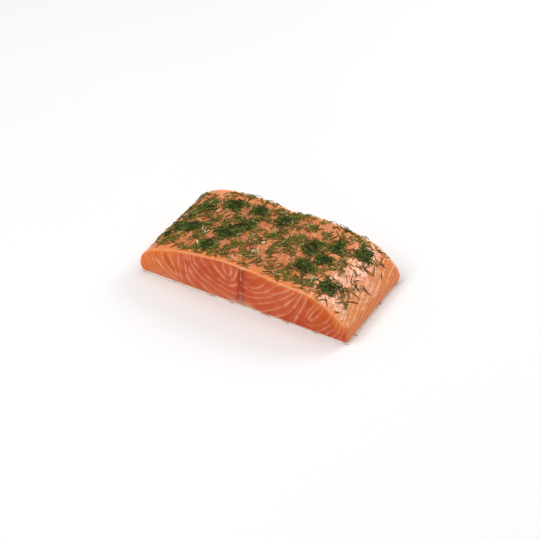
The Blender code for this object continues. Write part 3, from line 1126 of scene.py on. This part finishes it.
@dataclass(frozen=True)
class DillFinish:
    """Chopped dill: green where fresh, olive, brown and straw where dried, and cream fronds; in the
    tufts the darkest tone is partly painted shade and the light green partly painted highlight.
    """

    # Shade: dark green darkened as painted shade deep in the tufts
    shade: tuple = paint(12, 27, 5)
    green: tuple = paint(54, 78, 18)
    # Light green: lighter dill, and painted highlight on the tufts' upper strands
    light: tuple = paint(122, 136, 46)
    olive: tuple = paint(130, 108, 42)
    brown: tuple = paint(96, 58, 28)
    straw: tuple = paint(198, 166, 100)
    cream: tuple = paint(238, 216, 168)
    roughness: float = 0.42

    def dress(self, obj: bpy.types.Object) -> None:
        """Gives the dill its material.

        Args:
            obj: The dill, whose vertices keep tone.
        """
        tree = Tree(
            "chopped_dill", Specular_IOR_Level=0.18, Coat_Weight=0.08, Coat_Roughness=0.22,
            Subsurface_Weight=0.12, Subsurface_Radius=(0.4, 0.6, 0.15), Subsurface_Scale=0.6 * MM,
        )
        fine = tree.noise(1.6, 3, seed=2.0)
        tone = tree.attribute("tone") + (fine - 0.5) * 0.16
        stops = (
            (0.0, self.shade), (0.24, self.green), (0.45, self.light), (0.62, self.olive),
            (0.80, self.brown), (0.90, self.straw), (1.0, self.cream),
        )
        ramp = tree.node("ShaderNodeValToRGB", {"stops": stops}, {0: tone})
        tree.dress(
            obj,
            Base_Color=ramp.outputs[0],
            Roughness=self.roughness + (fine - 0.5) * 0.3,
            Normal=tree.bump(0.12, tree.noise(0.5, 2, seed=4.0)),
        )


class Strands:
    """Many thin curved strands, gathered as paths and then swept into one mesh."""

    points: int = 5
    end_width: float = 0.28
    flatness: float = 0.8

    def __init__(self) -> None:
        """Starts with no strand."""
        self.paths: list[np.ndarray] = []
        self.widths: list[float] = []
        self.tones: list[float] = []

    def add(self, path: np.ndarray, width: float, tone: float) -> None:
        """Adds a strand: its points, greatest width, and tone from 0 for fresh to 1 for dried, whose low
        end in the tufts is also painted shade.
        """
        self.paths.append(path)
        self.widths.append(width)
        self.tones.append(tone)

    def build(self, name: str) -> bpy.types.Object:
        """Sweeps a flattened triangle along each path, narrow at both ends.

        Args:
            name: The object's name.

        Returns:
            The object, whose vertices keep tone.
        """
        paths = np.array(self.paths)
        count, points, _ = paths.shape
        ahead = np.gradient(paths, axis=1)
        ahead /= np.linalg.norm(ahead, axis=2, keepdims=True)
        side = np.cross(ahead, (0, 0, 1))
        side /= np.linalg.norm(side, axis=2, keepdims=True) + 1e-12
        up = np.cross(side, ahead)
        share = np.linspace(0, 1, points)
        swell = np.sin(np.pi * np.clip(share * 0.86 + 0.1, 0, 1)) ** 0.6
        taper = self.end_width + (1 - self.end_width) * swell
        half = np.array(self.widths)[:, None, None] / 2 * taper[None, :, None]
        corners = []
        for turn in (math.radians(angle) for angle in (210, 330, 90)):
            out = math.cos(turn) * side + self.flatness * math.sin(turn) * up
            corners.append(paths + half * out)
        places = np.stack(corners, axis=2).reshape(-1, 3)
        faces = []
        for strand in range(count):
            start = strand * points * 3
            for k in range(start, start + (points - 1) * 3, 3):
                for i, j in ((0, 1), (1, 2), (2, 0)):
                    faces.append((k + i, k + j, k + 3 + j, k + 3 + i))
            last = start + (points - 1) * 3
            faces.append((start + 2, start + 1, start))
            faces.append((last, last + 1, last + 2))
        obj = MeshKit.from_arrays(name, places, faces)
        MeshKit.store(obj, "tone", np.repeat(np.array(self.tones), points * 3))
        obj.data.shade_smooth()
        return obj


@dataclass
class Dill:
    """Chopped dill on the top: thick tufts, and threads spread between them."""

    seed: int = 11
    margin: float = 3 * MM
    width: tuple = (0.44 * MM, 0.74 * MM)
    tuft_sprigs: int = 60
    tuft_clumps: int = 6
    tuft_spread: float = 0.85
    clump_radius: float = 0.7
    loose_pieces: int = 2400
    growth_shares: tuple = (5, 3, 1)
    tuft_length: tuple = (4 * MM, 8.5 * MM)
    loose_length: tuple = (3 * MM, 7.5 * MM)
    patch_size: float = 8.5 * MM
    least_density: float = 0.12
    bareness: float = 0.92
    most_steep: float = 1.6
    most_turn: float = 1.3
    branch_angle: tuple = (0.4, 1.0)
    branch_length: tuple = (0.3, 0.6)
    branch_width: tuple = (0.65, 0.95)
    tuft_height: float = 2.2 * MM
    spray_radius: float = 1.6 * MM
    tones: tuple = ((0.15, 0.45), (0.48, 0.70), (0.74, 0.84), (0.88, 1.0))
    tone_shares: tuple = (4.6, 5.4, 1.1, 0.6)
    # The tufts lean to the darkest tones, partly painted shade inside the heaps
    tuft_tones: tuple = ((0.0, 0.13), (0.13, 0.28), (0.34, 0.50))
    tuft_tone_shares: tuple = (6, 3, 1.4)

    def __post_init__(self) -> None:
        """Starts the random draws."""
        self.draw = random.Random(self.seed)

    def curve(self, x: float, y: float, heading: float, length: float, turn: float) -> np.ndarray:
        """A curved line on the plan.

        Args:
            x, y: Where it starts.
            heading: Where it starts towards.
            length: Its length.
            turn: How far it turns over that length.

        Returns:
            Its points' x and y, one row each.
        """
        points = [(x, y)]
        for k in range(Strands.points - 1):
            bend = heading + turn * (k + 0.5) / (Strands.points - 1)
            x += length / (Strands.points - 1) * math.cos(bend)
            y += length / (Strands.points - 1) * math.sin(bend)
            points.append((x, y))
        return np.array(points)

    def lay(
        self, strands: Strands, plan: np.ndarray, width: float, tone: float, lift: float, arch: float
    ) -> bool:
        """Lays a line on the top as a strand, unless it leaves the top or stands too steep.

        Args:
            strands: What gathers the strands.
            plan: The line's points on the plan.
            width: The strand's width.
            tone: Its tone.
            lift: How high its start lies over the top.
            arch: How far its middle rises over that.

        Returns:
            Whether the strand was laid.
        """
        x, y = plan.T
        room_x, room_y = FORM.length / 2 - self.margin, FORM.depth / 2 - self.margin / 2
        if np.abs(x).max() > room_x or np.abs(y).max() > room_y:
            return False
        z = FORM.top(x, y)
        if np.abs(np.diff(z)).max() / np.hypot(*np.diff(plan, axis=0).T).max() > self.most_steep:
            return False
        share = np.linspace(0, 1, len(x))
        z = z + width * 0.3 + lift * (1 - share) + arch * np.sin(np.pi * share)
        strands.add(np.column_stack([x, y, z]), width, tone)
        return True

    def piece(
        self, strands: Strands, x: float, y: float, lengths: tuple, growth: Growth,
        tone: float, lift: float,
    ) -> bool:
        """Lays one chopped piece: a stem, and the threads that branch off it.

        Args:
            strands: What gathers the strands.
            x, y: Where the piece's middle lies.
            lengths: Its stem's least and greatest length.
            growth: How it is branched.
            tone: Its tone.
            lift: How high it lies over the top.

        Returns:
            Whether the piece was laid.
        """
        draw = self.draw
        length = draw.uniform(*lengths)
        heading, turn = draw.uniform(0, math.tau), draw.uniform(-self.most_turn, self.most_turn)
        middle = heading + turn / 2
        stem = self.curve(
            x - math.cos(middle) * length / 2, y - math.sin(middle) * length / 2, heading, length, turn
        )
        width = draw.uniform(*self.width)
        arch = draw.uniform(0.0, 0.5) * MM + lift * draw.uniform(0, 0.5)
        if not self.lay(strands, stem, width, tone, lift, arch):
            return False
        if growth is Growth.THREAD:
            return True
        forks = (2,) if growth is Growth.FORK else tuple(range(1, Strands.points - 1))
        side = draw.choice((-1, 1))
        for k in forks:
            side = -side
            along = math.atan2(*(stem[k + 1] - stem[k])[::-1])
            branch = self.curve(
                *stem[k], along + side * draw.uniform(*self.branch_angle),
                length * draw.uniform(*self.branch_length), -side * draw.uniform(0.0, 1.0),
            )
            shade = tone + draw.uniform(-0.1, 0.12)
            start = lift * (1 - k / Strands.points) + arch * 0.7
            thin = width * draw.uniform(*self.branch_width)
            self.lay(strands, branch, thin, shade, start, draw.uniform(-0.2, 0.5) * MM)
        return True

    def build(self) -> list[bpy.types.Object]:
        """Builds the dill.

        Returns:
            The finished pieces.
        """
        tufts, loose = Strands(), Strands()
        self.add_tufts(tufts)
        self.add_loose(loose)
        self.add_stems(loose)
        self.add_sprays(loose)
        pieces = [tufts.build("dill_tufts"), loose.build("dill_threads")]
        for piece in pieces:
            DillFinish().dress(piece)
        return pieces

    def add_tufts(self, strands: Strands) -> None:
        """Lays the thick tufts, each a heap of sprigs around a few clumps."""
        draw = self.draw
        for across, back, radius in TUFTS:
            middle = ((across - 0.5) * FORM.length, (back - 0.5) * FORM.depth)
            spread = radius * MM * self.tuft_spread
            clumps = [self.near(*middle, spread) for _ in range(self.tuft_clumps)]
            laid = 0
            while laid < self.tuft_sprigs:
                x, y = self.near(*draw.choice(clumps), radius * MM * self.clump_radius)
                reach = math.hypot(x - middle[0], y - middle[1]) / (radius * MM)
                level = draw.uniform(0.1, 1)
                low, high = draw.choices(self.tuft_tones, self.tuft_tone_shares)[0]
                # Painted shade and light: strands lower in the heap take a darker tone, higher ones a
                # lighter one
                tone = 0.10 * level + draw.uniform(low, high)
                lift = level * self.tuft_height * max(0.1, 1 - reach)
                laid += self.piece(strands, x, y, self.tuft_length, Growth.SPRIG, tone, lift)

    def add_loose(self, strands: Strands) -> None:
        """Lays the loose pieces, where the density lets them stay."""
        draw = self.draw
        laid = 0
        while laid < self.loose_pieces:
            across, back = draw.random(), draw.random()
            if draw.random() > self.density(across, back):
                continue
            growth = draw.choices(tuple(Growth), self.growth_shares)[0]
            low, high = draw.choices(self.tones, self.tone_shares)[0]
            x, y = (across - 0.5) * FORM.length, (back - 0.5) * FORM.depth
            tone, lift = draw.uniform(low, high), draw.uniform(0, 0.3) * MM
            laid += self.piece(strands, x, y, self.loose_length, growth, tone, lift)

    def near(self, x: float, y: float, radius: float) -> tuple[float, float]:
        """Draws a place at most a radius away from another."""
        angle, reach = self.draw.uniform(0, math.tau), radius * self.draw.random() ** 0.6
        return x + reach * math.cos(angle), y + reach * math.sin(angle)

    def add_stems(self, strands: Strands) -> None:
        """Lays the single stems that lie apart."""
        for x0, y0, x1, y1, tone in STEMS:
            length, heading = math.hypot(x1 - x0, y1 - y0), math.atan2(y1 - y0, x1 - x0)
            turn = self.draw.uniform(-0.4, 0.4)
            plan = self.curve(x0 * MM, y0 * MM, heading - turn / 2, length * MM, turn)
            self.lay(strands, plan, self.width[1] * 1.15, tone, 0.1 * MM, 0.25 * MM)

    def add_sprays(self, strands: Strands) -> None:
        """Lays the small sprays, green ones and a few pale ones."""
        for x, y, tone, sprigs in SPRAYS:
            for _ in range(sprigs):
                at_x, at_y = self.near(x * MM, y * MM, self.spray_radius)
                shade = tone + self.draw.uniform(-0.08, 0.06)
                lift = self.draw.uniform(0.2, 1.4) * MM
                self.piece(strands, at_x, at_y, self.loose_length, Growth.SPRIG, shade, lift)

    def density(self, across: float, back: float) -> float:
        """How thickly loose dill lies.

        Args:
            across, back: Shares of the length and of the depth.

        Returns:
            The chance, from 0 to 1, that a piece drawn there stays.
        """
        chance = min(1.0, 0.15 + back / 0.22)
        chance *= ramp(across - 0.025, 0.05) * ramp(0.97 - across, 0.12)
        chance *= min(1.0, 0.15 + (1 - back) / 0.10)
        x, y = (across - 0.5) * FORM.length / MM, (back - 0.5) * FORM.depth / MM
        patch = noise.noise(Vector((x * MM / self.patch_size, y * MM / self.patch_size, 4.0)))
        chance *= min(1.0, max(self.least_density, 0.55 + 1.6 * patch))
        for at_x, at_y, radius in BARE_PATCHES:
            off = ((x - at_x) ** 2 + (y - at_y) ** 2) / (radius * 0.9) ** 2
            chance *= 1 - self.bareness * math.exp(-(off**2))
        return chance


@dataclass(frozen=True)
class Crumbs:
    """One kind of small crumb on the top."""

    name: str
    colour: tuple
    shade: tuple
    spots: tuple
    height: float = 0.7 * MM
    rest_share: float = 0.35
    rounds: int = 3

    def build(self) -> bpy.types.Object:
        """Builds the crumbs as one piece.

        Returns:
            The finished piece.
        """
        made = [self.crumb(*spot) for spot in self.spots]
        MeshKit.pick(*made)
        bpy.ops.object.join()
        obj = made[0]
        obj.name = obj.data.name = self.name
        obj.data.shade_smooth()
        self.dress(obj)
        return obj

    def crumb(self, x: float, y: float, length: float, width: float, turn: float) -> bpy.types.Object:
        """Makes one crumb, uneven and flattened, where it lies.

        Args:
            x, y: Its place in mm.
            length, width: Its size in mm.
            turn: How far its length is turned from X, in degrees.

        Returns:
            The crumb.
        """
        bpy.ops.mesh.primitive_ico_sphere_add(subdivisions=self.rounds, radius=1)
        obj = bpy.context.object
        ball = MeshKit.places(obj)
        ball *= (1 + 0.35 * field_noise(ball, 0.8, x) + 0.12 * field_noise(ball, 0.3, y))[:, None]
        cos, sin = math.cos(math.radians(turn)), math.sin(math.radians(turn))
        along, across = ball[:, 0] * length / 2 * MM, ball[:, 1] * width / 2 * MM
        at_x, at_y = x * MM + cos * along - sin * across, y * MM + sin * along + cos * across
        at_z = FORM.top(at_x, at_y) + self.height * (self.rest_share + ball[:, 2])
        MeshKit.place(obj, np.column_stack([at_x, at_y, at_z]))
        return obj

    def dress(self, obj: bpy.types.Object) -> None:
        """Gives the crumbs their material."""
        tree = Tree(
            self.name, Specular_IOR_Level=0.4, Coat_Weight=0.3, Coat_Roughness=0.2,
            Subsurface_Weight=0.3, Subsurface_Radius=(1.0, 0.6, 0.4), Subsurface_Scale=0.8 * MM,
        )
        fine = tree.noise(0.9, 3, seed=6.0)
        tree.dress(
            obj,
            Base_Color=tree.mix(fine.step(0.35, 0.7), self.colour, self.shade),
            Roughness=0.4 + (fine - 0.5) * 0.3,
            Normal=tree.bump(0.15, fine),
        )


PALE_CRUMBS = Crumbs(
    "pale_flakes", paint(246, 228, 200), paint(228, 190, 152),
    ((-0.6, -18.6, 3.4, 2.2, 20), (0.2, -6.4, 3.6, 1.8, 60), (2.2, -17.4, 1.8, 1.2, 80),
     (-43.5, -13.5, 3.6, 1.2, 120), (-41.8, -12, 3.0, 1.0, 70), (-41.9, -25.5, 4.2, 1.1, 310),
     (48, -22.4, 3.4, 1.3, 50)),
)
RED_CRUMBS = Crumbs(
    "red_specks", paint(166, 46, 36), paint(196, 92, 70),
    ((-3.4, -15.0, 4.6, 3.2, 10), (-1.2, -29.7, 2.6, 1.6, 60), (27.4, 9.2, 2.0, 1.4, 100),
     (36.2, -29.2, 2.2, 1.3, 30)),
)


@dataclass
class Studio:
    """The plain pale floor, the soft lights and the camera."""

    camera_at: tuple = (0.5114, -0.8115, 0.7952)
    aim: tuple = (-0.0059, 0.0099, -0.0050)
    lens: float = 118.0
    sensor: float = 36.0
    roll: float = -2.5
    floor_size: float = 6.0
    floor_gap: float = 0.05 * MM
    sky_strength: float = 0.39
    lights: tuple = (
        ("key", (-0.55, -0.75, 1.25), 0.9, 11),
        ("back", (0.45, 0.95, 0.75), 0.55, 5.5),
        ("over", (0.1, 0.1, 1.5), 1.2, 7),
    )

    def build(self) -> None:
        """Builds the floor, the lights and the camera."""
        self.add_floor()
        for light in self.lights:
            self.add_light(*light)
        world = bpy.data.worlds.new("studio")
        world.use_nodes = True
        sky = world.node_tree.nodes["Background"]
        sky.inputs[0].default_value = (1, 1, 1, 1)
        sky.inputs[1].default_value = self.sky_strength
        bpy.context.scene.world = world
        bpy.context.scene.view_settings.view_transform = "Standard"
        self.add_camera()

    def add_floor(self) -> None:
        """Adds the floor."""
        bpy.ops.mesh.primitive_plane_add(size=self.floor_size, location=(0, 0, -self.floor_gap))
        floor = bpy.context.object
        floor.name = "floor"
        tree = Tree("pale_floor", Roughness=0.6)
        cloud = tree.noise(400, 2)
        tree.dress(floor, Base_Color=tree.mix(cloud, paint(238, 238, 238), paint(244, 244, 244)))

    def add_light(self, name: str, at: tuple, size: float, power: float) -> None:
        """Adds a soft square light that faces the portion.

        Args:
            name: The light's name.
            at: Where it stands.
            size: Its side's length.
            power: Its power in watts.
        """
        light = bpy.data.lights.new(name, "AREA")
        light.size, light.energy = size, power
        obj = bpy.data.objects.new(name, light)
        obj.location = at
        obj.rotation_euler = (-Vector(at)).to_track_quat("-Z", "Y").to_euler()
        bpy.context.scene.collection.objects.link(obj)

    def add_camera(self) -> None:
        """Adds the camera, rolled a little, and makes it the scene's own."""
        camera = bpy.data.cameras.new("camera")
        camera.lens, camera.sensor_width, camera.clip_start = self.lens, self.sensor, 0.01
        obj = bpy.data.objects.new("camera", camera)
        bpy.context.scene.collection.objects.link(obj)
        ahead = (Vector(self.aim) - Vector(self.camera_at)).normalized()
        right = ahead.cross(Vector((0, 0, 1))).normalized()
        up = right.cross(ahead)
        roll = math.radians(self.roll)
        rolled = math.cos(roll) * right + math.sin(roll) * up
        stood = math.cos(roll) * up - math.sin(roll) * right
        turn = Matrix((rolled, stood, -ahead)).transposed().to_4x4()
        obj.matrix_world = Matrix.Translation(Vector(self.camera_at)) @ turn
        bpy.context.scene.camera = obj


def attach(piece: bpy.types.Object, slot: str, *nodes: str) -> None:
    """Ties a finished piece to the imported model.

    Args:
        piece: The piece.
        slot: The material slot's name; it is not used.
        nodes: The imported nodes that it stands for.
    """
    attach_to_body(piece, BODY)
    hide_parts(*nodes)
    LOG.info("%s: %d faces", piece.name, len(piece.data.polygons))


def main() -> None:
    """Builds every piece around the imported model, and the studio."""
    logging.basicConfig(level=logging.INFO, format="%(message)s")
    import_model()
    Studio().build()
    attach(Flesh().build(), "salmon_flesh", "salmon_flesh")
    attach(Skin().build(), "salmon_skin", "salmon_skin")
    for piece in (*Dill().build(), PALE_CRUMBS.build(), RED_CRUMBS.build()):
        attach(piece, "salmon_flesh", "salmon_flesh")


if __name__ == "__main__":
    main()
